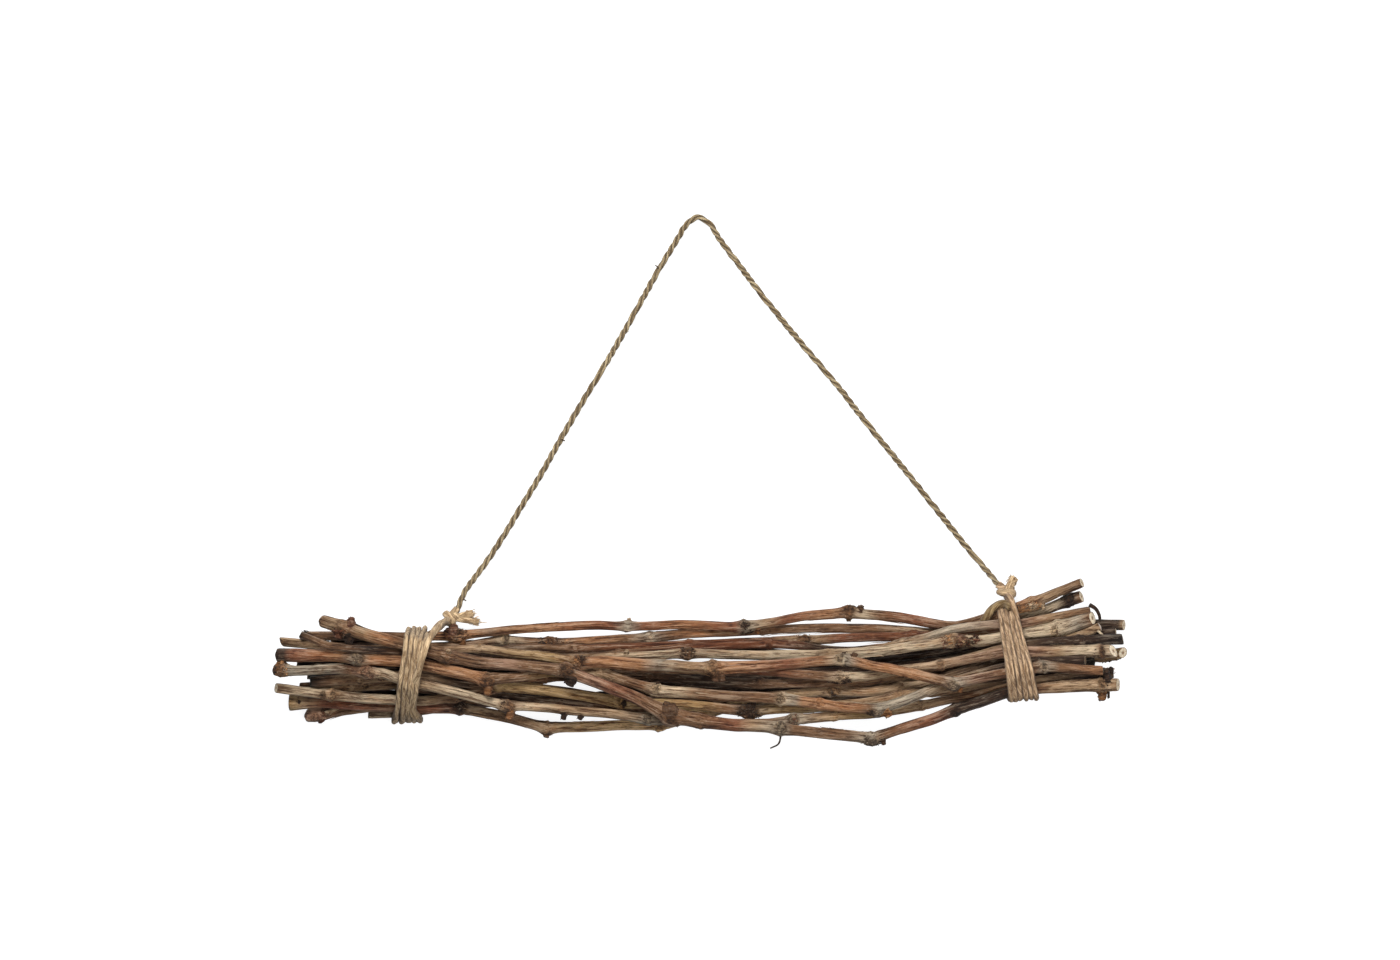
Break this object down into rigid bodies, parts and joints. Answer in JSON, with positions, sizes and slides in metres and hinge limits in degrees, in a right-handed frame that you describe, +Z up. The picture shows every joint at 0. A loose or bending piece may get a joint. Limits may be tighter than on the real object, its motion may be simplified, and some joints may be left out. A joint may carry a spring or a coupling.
{
  "type": "bundle of twigs",
  "caption": "Bundle of cut vine canes tied near both ends with jute twine, with a hanging cord from knot to knot, lying on its back.",
  "frame": {"origin": "middle of the bundle's footprint on the surface it lies on, leaving out the hanging cord", "axes": "+X along the canes, from the end with the wide splayed cut to the end with the round cut faces; +Y towards the hanging cord's bend; +Z up"},
  "size_m": [0.597, 0.3716, 0.0741],
  "materials": {
    "bark_red": "rough reddish bark",
    "bark_tan": "rough tan bark",
    "bark_grey": "weathered grey bark",
    "bark_dark": "rough dark bark",
    "jute": "hairy twisted jute"
  },
  "bodies": {
    "root": {"cane_01": "bark_dark", "cane_02": "bark_dark", "cane_03": "bark_dark", "cane_04": "bark_dark", "cane_05": "bark_dark", "cane_06": "bark_dark", "cane_07": "bark_dark", "cane_08": "bark_dark", "cane_09": "bark_tan", "cane_10": "bark_grey", "cane_11": "bark_tan", "cane_12": "bark_red", "cane_14": "bark_grey", "cane_13": "bark_grey", "cane_16": "bark_dark", "cane_18": "bark_tan", "cane_19": "bark_tan", "cane_15": "bark_grey", "cane_17": "bark_tan", "cane_20": "bark_grey", "cane_21": "bark_red", "cane_22": "bark_red", "cane_23": "bark_red", "left_tie": "jute", "right_tie": "jute", "hanging_cord": "jute"}
  },
  "joints": []
}
